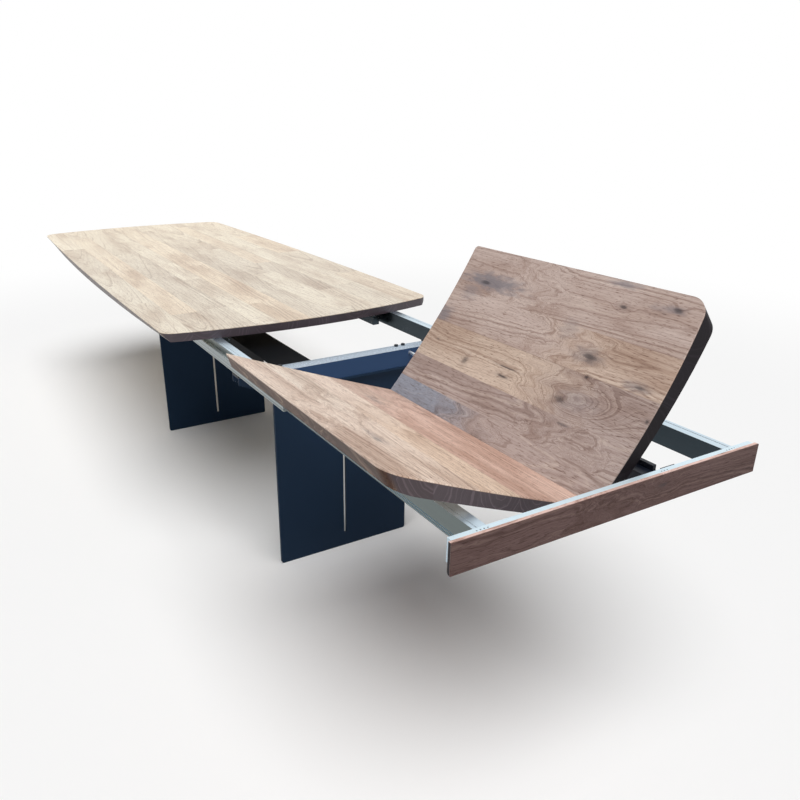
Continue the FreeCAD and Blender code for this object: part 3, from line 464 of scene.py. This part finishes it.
def walnut(name, board, planks, high, seed, figure, side_light_and_shade, end_tone_and_shade, roughness, specular,
           knots=(), stains=(), stave=None, painted_glare=None, pale_rings=0.10):
    """Planks of walnut as a solid texture: rings round each plank's heart, fibres, pores and end grain.

    Planks are (low edge, tint, tint after the joint, place of the joint, waviness); the last ends at high.
    """
    shader = Shader(name)
    place = board.place(shader)
    x, y, z = shader.split(place)
    low = planks[0][0]
    share = shader.math("DIVIDE", shader.minus(y, low), high - low)
    first, second, build, drawn = plank_ramps(shader, share, planks, high, random.Random(seed))
    joint, wave, _ = shader.split(build)
    turn, heart, rise = shader.split(drawn)

    # Tints along the planks
    if stave:
        tint, lot = stave_tints(shader, x, turn, first, second, stave)
        turn = shader.plus(turn, lot)
        rise = lot
    else:
        later = joint_mask(shader, place, x, joint)
        tint = shader.mix(later, first, second)
        turn = shader.plus(turn, shader.times(later, JOINT_TURN))
        wave = shader.times(wave, shader.minus(1.0, shader.times(later, JOINT_CALM)))
    # Painted glare laid over the tint between two places along the grain
    if painted_glare:
        tint = covered(shader, tint, shader.fade(x, *painted_glare), GLARE_COVER)
    # Side faces take a tone of their own that stands in for light: painted shade on the undercut sides of the top
    # and leaves, a painted highlight on the apron's long edges
    side = side_mask(shader, board, z)
    tint = shader.mix(side, tint, colour(*side_light_and_shade))

    # Rings, knots and stains; each plank takes its grain from another place in the noise
    along = shader.times(turn, GRAIN_ALONG)
    through = shader.times(turn, GRAIN_THROUGH)
    grain = shader.vector("ADD", place, shader.join(along, 0.0, through))
    ragged = shader.swing(shader.noise(place, RAGGED_WAVES, detail=3.0), RAGGED_SIZE)
    shift, core, halo = knot_field(shader, x, y, knots, ragged)
    stain = stain_field(shader, x, y, stains, ragged)
    from_heart = shader.minus(y, shader.plus(shader.times(heart, high - low), low))
    late, early = ring_bands(shader, grain, x, from_heart, z, rise, turn, wave, shift)

    # Fibres, flecks, pores and slow changes of tone
    fibre = shader.noise(grain, FIBRE_WAVES, detail=3.0, roughness=0.6)
    fleck = shader.noise(grain, FLECK_WAVES, roughness=0.55)
    pore = shader.fade(shader.noise(grain, PORE_WAVES, detail=1.0), *PORE_FADE)
    cloud = shader.noise(grain, CLOUD_WAVES, detail=3.0, roughness=0.6)

    base = shader.mix(shader.times(early, pale_rings * figure), tint, colour(*PALE_RING_TONE), "SCREEN")
    base = marked(shader, base, shader.fade(cloud, *CLOUD_FADE), CLOUD_MARK, figure)
    base = marked(shader, base, late, LATE_MARK, figure)
    base = marked(shader, base, shader.fade(fibre, *FIBRE_FADE), FIBRE_MARK, figure)
    base = marked(shader, base, shader.fade(fleck, *FLECK_FADE), FLECK_MARK, figure)
    base = marked(shader, base, pore, PORE_MARK)
    base = marked(shader, base, halo, HALO_MARK)
    base = covered(shader, base, stain, STAIN_COVER)
    base = covered(shader, base, core, KNOT_COVER)
    base = marked(shader, base, glue_lines(shader, share, planks, high), GLUE_MARK)
    # End faces take the dark end grain, which is partly painted shade
    end = shader.times(side, shader.fade(shader.facing(board.grain), *SIDE_TO_END))
    base = shader.mix(end, base, end_grain(shader, end_tone_and_shade, late, rise))

    height = shader.minus(shader.times(fibre, FIBRE_RELIEF), shader.times(pore, PORE_RELIEF))
    height = shader.minus(height, shader.times(late, LATE_RELIEF))
    rough = shader.plus(roughness, shader.swing(fibre, FIBRE_GLOSS))
    return shader.surface(base, rough, shader.bump(height, *WOOD_BUMP), specular=specular)


def main_top_walnut():
    """Short staves in ten rows, which reach a little past the sides; a painted glare pales the top towards its
    back end.
    """
    pale, grey, warm = (254, 245, 224), (229, 218, 199), (248, 232, 207)
    back, near_side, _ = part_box("main_top")[0]
    margin = 0.006
    low = near_side - margin
    # Along the table, where the painted glare begins and where it is full
    glare_start, glare_end = back + 1.661, back + 0.061
    widths = (0.11, 0.09, 0.11, 0.08, 0.11, 0.09, 0.11, 0.08, 0.11)
    edges = [low + sum(widths[:row]) for row in range(len(widths) + 1)]
    tints = (pale, warm, grey, pale, warm, grey, pale, warm, pale, warm)
    planks = [(edge, tint, grey, 0.0, 0.1) for edge, tint in zip(edges, tints)]
    return walnut("walnut_top", top_board(), planks, high=-low, seed=11, figure=1.4, stave=0.55,
                  painted_glare=(glare_start, glare_end), side_light_and_shade=(82, 64, 62), end_tone_and_shade=(60, 50, 58),
                  roughness=0.40, specular=0.6)


def along_leaf(rows):
    """Rows that begin with a place along the leaf from its hinge point, moved to the table's frame."""
    return [(seam_along + row[0],) + row[1:] for row in rows]


# How far the planks beside the seam reach past it, and how far the outer ones reach from it
SEAM_MARGIN = 0.005
LEAF_REACH = 0.50


def near_walnut():
    """Tan planks on the outside and red ones beside the seam."""
    tan, pale, red = (245, 225, 208), (254, 240, 224), (237, 204, 188)
    planks = [
        (-LEAF_REACH, tan, tan, seam_along - 0.006, 0.4),
        (-0.395, pale, tan, seam_along - 0.106, 0.5),
        (-0.300, tan, (244, 220, 198), seam_along - 0.046, 0.7),
        (-0.205, (230, 204, 187), red, seam_along - 0.206, 0.2),
        (-0.110, (222, 192, 176), red, seam_along - 0.256, 0.1),
    ]
    knots = along_leaf([
        (0.139, -0.380, 0.020, 0.008, 0.50, 4.0, 3.0),
        (-0.216, -0.165, 0.018, 0.008, 0.35, 4.0, 3.0),
    ])
    stains = along_leaf([
        (0.114, -0.372, 0.050, 0.018, 0.35),
        (-0.226, -0.160, 0.060, 0.022, 0.25),
    ])
    return walnut("walnut_near", leaf_board(-near_tilt), planks, high=SEAM_MARGIN, seed=23, figure=1.8,
                  knots=knots, stains=stains, side_light_and_shade=(90, 60, 42), end_tone_and_shade=(74, 66, 70),
                  roughness=0.45, specular=0.3)


def far_walnut():
    """Brown planks with knots, and a wavy grey one beside the seam; the tints are darker than the near half's,
    partly their own tone and partly painted shade.
    """
    # Tints darker than the near half's: partly the wood's own tone, partly painted shade on this half
    brown, pink, amber, grey = (204, 186, 178), (184, 167, 161), (214, 194, 178), (150, 154, 166)
    planks = [
        (-SEAM_MARGIN, grey, pink, seam_along - 0.086, 1.0),
        (0.055, pink, pink, seam_along + 0.214, 0.35),
        (0.130, amber, pink, seam_along + 0.114, 0.3),
        (0.243, brown, (208, 187, 172), seam_along + 0.064, 0.3),
        (0.345, brown, brown, seam_along - 0.156, 0.3),
    ]
    knots = along_leaf([
        (-0.314, 0.388, 0.022, 0.006, 0.80, 3.0, 1.5),
        (0.147, 0.423, 0.012, 0.006, 0.85, 4.0, 2.0),
        (0.282, 0.448, 0.013, 0.006, 0.85, 4.0, 2.0),
        (0.150, 0.285, 0.021, 0.012, 0.80, 3.6, 5.0),
        (-0.050, 0.189, 0.036, 0.0022, 0.80, 5.0, 1.0),
        (-0.049, 0.165, 0.018, 0.004, 0.90, 4.0, 1.5),
        (-0.199, 0.163, 0.010, 0.012, 0.60, 3.0, 1.0),
        (0.177, 0.240, 0.007, 0.005, 0.85, 3.0, 1.0),
        (0.150, 0.170, 0.016, 0.008, 0.70, 3.0, 2.0),
        (0.179, 0.176, 0.036, 0.013, 0.00, 6.0, 20.0),
        (0.314, 0.259, 0.015, 0.006, 0.70, 4.0, 2.0),
        (0.375, 0.198, 0.006, 0.005, 0.85, 3.0, 0.5),
        (0.197, 0.120, 0.018, 0.003, 0.50, 4.0, 0.8),
        (-0.346, 0.190, 0.008, 0.003, 0.50, 4.0, 0.6),
    ])
    stains = along_leaf([
        (-0.286, 0.393, 0.140, 0.030, 0.95),
        (-0.344, 0.352, 0.045, 0.030, 0.50),
        (-0.391, 0.265, 0.040, 0.030, 0.80),
        (0.114, 0.478, 0.055, 0.010, 0.75),
        (0.259, 0.446, 0.045, 0.013, 0.55),
        (0.046, 0.334, 0.035, 0.035, 0.30),
        (0.144, 0.290, 0.060, 0.024, 0.40),
        (0.304, 0.258, 0.040, 0.014, 0.50),
        (0.194, 0.180, 0.070, 0.030, 0.30),
    ])
    return walnut("walnut_far", leaf_board(far_tilt), planks, high=LEAF_REACH, seed=5, figure=1.45,
                  knots=knots, stains=stains, side_light_and_shade=(90, 70, 60), end_tone_and_shade=(28, 25, 29),
                  roughness=0.5, specular=0.15)


def apron_walnut():
    """One dark plank, wider than the board, with a small knot; its dark brown is partly its own tone and partly
    painted shade on its front, and the board's long edges are pale as a painted highlight.
    """
    # Dark brown, partly painted shade on the apron's front
    brown = (100, 78, 75)
    lower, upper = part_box("end_apron")
    middle = (lower.z + upper.z) / 2
    low, high = middle - 0.098, middle + 0.102
    planks = [(low, brown, brown, 0.0, 0.9)]
    knots = [(0.11, middle + 0.010, 0.016, 0.006, 0.5, 5.0, 4.0)]
    return walnut("walnut_apron", apron_board(), planks, high=high, seed=8, figure=1.6, knots=knots,
                  side_light_and_shade=(236, 204, 194), end_tone_and_shade=(40, 34, 38), roughness=0.5, specular=0.15,
                  pale_rings=0.02)


# Metals, paint and plastic

# Drawing lines on extruded metal: waves per metre on each axis, and their tone
DRAWN_WAVES = (1.5, 1300.0, 1300.0)
DRAWN_TONE = (226, 226, 226)
# Dark lines along extruded metal, painted shade of its grooves: waves per metre of height, tone, and the noise
# where they begin and are full
GROOVE_WAVES = 230.0
GROOVE_TONE = (120, 128, 132)
GROOVE_FADE = (0.45, 0.58)
# Across the table, where extruded metal changes from its near tone to its far one, which is darker as painted
# shade
NEAR_TO_FAR = (-0.05, 0.05)
# Across the table, where the painted sheen on the front of a painted bar begins; towards the near end, under the
# guide, the front is left dark as painted shade
SHEEN_START = (-0.30, -0.18)
# Waves per metre of the other textures
CLOUDY_METAL_WAVES = 9.0
CLOUDY_PAINT_WAVES = 5.0
BEAD_WAVES = 900.0
SPECKLE_WAVES = 260.0
MOTTLE_WAVES = 420.0
SPARK_WAVES = 1500.0
# Noise at which each texture begins and is full, with its least and greatest share
DRAWN_FADE = (0.35, 0.70, 0.0, 0.30)
BEAD_FADE = (0.45, 0.75, 0.0, 0.35)
CLOUDY_PAINT_FADE = (0.35, 0.75, 0.0, 0.25)
SPECKLE_FADE = (0.35, 0.65, 0.45, 1.0)
MOTTLE_FADE = (0.35, 0.70, 0.0, 0.50)
SPARK_FADE = (0.40, 0.70, 0.0, 0.30)
# How squarely a face looks up or ahead where its painted highlight begins and is full
METAL_TOP = (0.5, 0.85)
PAINT_FACE = (0.6, 0.9)
# Relief of each texture: its strength and its depth
DRAWN_BUMP = (0.10, 0.0002)
BEAD_BUMP = (0.25, 0.0004)
MOTTLE_BUMP = (0.15, 0.0002)
SPARK_BUMP = (0.2, 0.0002)
# Second tone of each texture as a share of the first; that of beads is a little paler still
BEAD_SHARE = 1.5
BEAD_MORE = 0.002
CLOUDY_PAINT_SHARE = 0.75
MOTTLE_SHARE = 0.7
SPARK_SHARE = 0.7
# How much the gloss changes over each material
METAL_GLOSS = 0.16
PAINT_GLOSS = 0.2
STEEL_GLOSS = 0.2
# Specular level of plastic
PLASTIC_SPECULAR = 0.35


def extruded(name, top, near_side, shaded_far_side, roughness, groove_shade=0.0, metallic=1.0):
    """Anodised aluminium with fine lines along the table; its pale tops are a painted reflection, and its upright
    faces are darker as painted shade, the far ones darker still.
    """
    shader = Shader(name)
    place = shader.place()
    _, y, z = shader.split(place)
    drawn = shader.noise(place, DRAWN_WAVES, roughness=0.6)
    cloud = shader.noise(place, CLOUDY_METAL_WAVES)
    # Upright faces: the far side's darker tone is painted shade
    face = shader.mix(shader.fade(y, *NEAR_TO_FAR), colour(*near_side), colour(*shaded_far_side))
    # Dark lines that stand in for the shade in grooves
    if groove_shade:
        groove_shade_mask = shader.fade(shader.line_noise(shader.times(z, GROOVE_WAVES)), *GROOVE_FADE, 0.0, groove_shade)
        face = shader.mix(groove_shade_mask, face, colour(*GROOVE_TONE), "MULTIPLY")
    # Pale tops: a painted reflection of the bright sky
    base = shader.mix(shader.fade(shader.facing(UPWARD), *METAL_TOP), face, colour(*top))
    base = shader.mix(shader.fade(drawn, *DRAWN_FADE), base, colour(*DRAWN_TONE), "MULTIPLY")
    rough = shader.plus(roughness, shader.swing(cloud, METAL_GLOSS))
    return shader.surface(base, rough, shader.bump(drawn, *DRAWN_BUMP), metallic=metallic)


def powder_coat(name, tone, roughness, specular, front=None, top=None):
    """Paint with a fine bead texture; its front may take a painted sheen, left dark at the near end as painted
    shade, and its top a speckled painted highlight.
    """
    shader = Shader(name)
    place = shader.place()
    bead = shader.noise(place, BEAD_WAVES, roughness=0.55)
    cloud = shader.noise(place, CLOUDY_PAINT_WAVES, detail=3.0)
    base = shader.mix(shader.fade(bead, *BEAD_FADE), tone, scaled(tone, BEAD_SHARE, BEAD_MORE))
    base = shader.mix(shader.fade(cloud, *CLOUDY_PAINT_FADE), base, scaled(tone, CLOUDY_PAINT_SHARE))
    if front:
        # Painted sheen on the faces looking ahead, left out towards the near end as painted shade
        _, y, _ = shader.split(place)
        ahead = shader.fade(shader.toward(FORWARD), *PAINT_FACE)
        base = shader.mix(shader.times(ahead, shader.fade(y, *SHEEN_START)), base, front)
    if top:
        # Speckled painted highlight on faces looking up
        level = shader.fade(shader.facing(UPWARD), *PAINT_FACE)
        speckle = shader.fade(shader.noise(place, SPECKLE_WAVES, roughness=0.6), *SPECKLE_FADE)
        base = shader.mix(shader.times(level, speckle), base, top)
    rough = shader.plus(roughness, shader.swing(bead, PAINT_GLOSS))
    return shader.surface(base, rough, shader.bump(bead, *BEAD_BUMP), specular=specular)


def turned_metal(name, tone, roughness):
    """Plated or blackened steel with a faint mottle."""
    shader = Shader(name)
    mottle = shader.noise(shader.place(), MOTTLE_WAVES, detail=3.0, roughness=0.6)
    base = shader.mix(shader.fade(mottle, *MOTTLE_FADE), tone, scaled(tone, MOTTLE_SHARE))
    rough = shader.plus(roughness, shader.swing(mottle, STEEL_GLOSS))
    return shader.surface(base, rough, shader.bump(mottle, *MOTTLE_BUMP), metallic=1.0)


def moulded(name, tone, roughness):
    """Moulded plastic with a fine spark texture."""
    shader = Shader(name)
    spark = shader.noise(shader.place(), SPARK_WAVES, detail=1.0)
    base = shader.mix(shader.fade(spark, *SPARK_FADE), tone, scaled(tone, SPARK_SHARE))
    return shader.surface(base, roughness, shader.bump(spark, *SPARK_BUMP), specular=PLASTIC_SPECULAR)


NAVY = colour(22, 41, 62)
MATERIALS = {
    "walnut_top": main_top_walnut(),
    "walnut_near": near_walnut(),
    "walnut_far": far_walnut(),
    "walnut_apron": apron_walnut(),
    "navy_paint": powder_coat("navy_paint", NAVY, roughness=0.55, specular=0.12),
    "black_paint": powder_coat("black_paint", colour(6, 8, 12), roughness=0.6, specular=0.06),
    "dark_metal": powder_coat("dark_metal", colour(20, 25, 36), roughness=0.4, specular=0.25),
    # Extruded tones: the top's painted reflection, then the near and far upright faces, darker as painted shade
    "rail_aluminium": extruded("rail_aluminium", (206, 224, 236), (108, 117, 116), (58, 67, 73),
                               roughness=0.30),
    "profile_aluminium": extruded("profile_aluminium", (218, 238, 248), (196, 214, 226), (196, 214, 226),
                                  roughness=0.34, metallic=0.5),
    "guide_aluminium": extruded("guide_aluminium", (222, 232, 234), (152, 161, 162), (60, 70, 76),
                                roughness=0.28, groove_shade=0.6),
    "black_plastic": moulded("black_plastic", colour(16, 16, 18), roughness=0.5),
    "grey_plastic": moulded("grey_plastic", colour(140, 146, 150), roughness=0.5),
    "dark_screw": turned_metal("dark_screw", colour(60, 64, 70), roughness=0.4),
    "zinc_steel": turned_metal("zinc_steel", colour(190, 196, 202), roughness=0.32),
}
# Nodes whose finish differs from the rest of their slot; on the crossbar and the stop pins the difference is
# painted light
NODE_MATERIALS = {
    # The crossbar's paler front is a painted sheen and its pale speckled top a painted highlight
    "crossbar_front": powder_coat("crossbar_paint", NAVY, roughness=0.45, specular=0.15,
                                  front=colour(42, 66, 100), top=colour(206, 220, 234)),
    "leg_bolts": MATERIALS["dark_screw"],
    # The stop pins' steel is paler than the zinc: a painted highlight that keeps them bright where they lie in
    # shade
    "stop_pins": turned_metal("bright_steel", colour(238, 241, 244), roughness=0.5),
}

# Rounds on the edges of pieces that aren't wood
EDGE_ROUND = 0.0007
SCREW_ROUND = 0.0004
EDGE_ANGLE = math.radians(40)
WELD_DISTANCE = 0.00001


def dress_nodes():
    """Give every node its material, and all but the wooden ones a small round on their edges."""
    for part in frame["record"]["subparts"]:
        thing = frame["nodes"][part["node"]]
        slot = part["material_slot"]
        thing.data.materials.clear()
        thing.data.materials.append(NODE_MATERIALS.get(part["node"], MATERIALS[slot]))
        if not slot.startswith("walnut"):
            soften(thing, SCREW_ROUND if "screw" in part["node"] else EDGE_ROUND)


def soften(thing, width):
    weld = thing.modifiers.new("weld", "WELD")
    weld.merge_threshold = WELD_DISTANCE
    bevel = thing.modifiers.new("bevel", "BEVEL")
    bevel.width = width
    bevel.segments = 2
    bevel.limit_method = "ANGLE"
    bevel.angle_limit = EDGE_ANGLE
    bevel.harden_normals = True


# Stage

class WorldShader(Shader):
    """The world's own tree, with the same calls."""

    def __init__(self, world):
        world.use_nodes = True
        self.tree = world.node_tree
        self.tree.nodes.clear()
        self.output = self.tree.nodes.new("ShaderNodeOutputWorld")


def white_rays(shader):
    """One for rays that show the background as it is: from the camera, in gloss or through glass."""
    path = shader.add("ShaderNodeLightPath")
    shown = shader.math("MAXIMUM", path.outputs["Is Camera Ray"], path.outputs["Is Glossy Ray"])
    return shader.math("MAXIMUM", shown, path.outputs["Is Transmission Ray"])


def make_world():
    world = bpy.data.worlds.new("studio")
    bpy.context.scene.world = world
    shader = WorldShader(world)
    strength = shader.fade(white_rays(shader), 0.0, 1.0, SKY_FILL, 1.0)
    back = shader.add("ShaderNodeBackground")
    back.inputs["Color"].default_value = WHITE
    shader.put(back.inputs["Strength"], strength)
    shader.tree.links.new(back.outputs[0], shader.output.inputs["Surface"])


def floor_material():
    """Matt and pale near the table, and as white as the background further away."""
    shader = Shader("pale_floor")
    away = shader.vector("LENGTH", shader.place())
    matt = shader.add("ShaderNodeBsdfDiffuse")
    matt.inputs["Color"].default_value = (FLOOR_TONE, FLOOR_TONE, FLOOR_TONE, 1.0)
    glow = shader.add("ShaderNodeEmission")
    glow.inputs["Color"].default_value = WHITE
    both = shader.add("ShaderNodeMixShader")
    shader.put(both.inputs[0], shader.times(shader.fade(away, *FLOOR_FADE), white_rays(shader)))
    shader.put(both.inputs[1], matt.outputs[0])
    shader.put(both.inputs[2], glow.outputs[0])
    shader.put(shader.output.inputs["Surface"], both.outputs[0])
    return shader.material


def make_floor():
    half = FLOOR_SIZE / 2
    mesh = bpy.data.meshes.new("floor")
    corners = [(-half, -half, 0.0), (half, -half, 0.0), (half, half, 0.0), (-half, half, 0.0)]
    mesh.from_pydata(corners, [], [(0, 1, 2, 3)])
    mesh.materials.append(floor_material())
    floor = bpy.data.objects.new("floor", mesh)
    bpy.context.scene.collection.objects.link(floor)


def make_sun():
    data = bpy.data.lights.new("sun", "SUN")
    data.energy = SUN_STRENGTH
    data.angle = SUN_ANGLE
    sun = bpy.data.objects.new("sun", data)
    sun.rotation_mode = "QUATERNION"
    sun.rotation_quaternion = SUN_FROM.to_track_quat("Z", "Y")
    bpy.context.scene.collection.objects.link(sun)


def make_camera():
    level_reach = math.cos(CAMERA_PITCH)
    ahead = Vector((-math.cos(CAMERA_YAW) * level_reach, math.sin(CAMERA_YAW) * level_reach,
                    -math.sin(CAMERA_PITCH)))
    level = ahead.cross(Vector(UPWARD)).normalized()
    upward = level.cross(ahead)
    right = math.cos(CAMERA_ROLL) * level + math.sin(CAMERA_ROLL) * upward
    up = -math.sin(CAMERA_ROLL) * level + math.cos(CAMERA_ROLL) * upward
    data = bpy.data.cameras.new("camera")
    data.sensor_width = SENSOR_WIDTH
    data.lens = FOCAL_PIXELS * SENSOR_WIDTH / IMAGE_SIZE
    data.shift_x = (IMAGE_SIZE / 2 - PRINCIPAL_PIXEL[0]) / IMAGE_SIZE
    data.shift_y = (PRINCIPAL_PIXEL[1] - IMAGE_SIZE / 2) / IMAGE_SIZE
    camera = bpy.data.objects.new("camera", data)
    turn = Matrix((right, up, -ahead)).transposed()
    camera.matrix_world = Matrix.Translation(CAMERA_PLACE) @ turn.to_4x4()
    bpy.context.scene.collection.objects.link(camera)
    bpy.context.scene.camera = camera


dress_nodes()
make_world()
make_floor()
make_sun()
make_camera()
bpy.context.scene.view_settings.view_transform = "Standard"
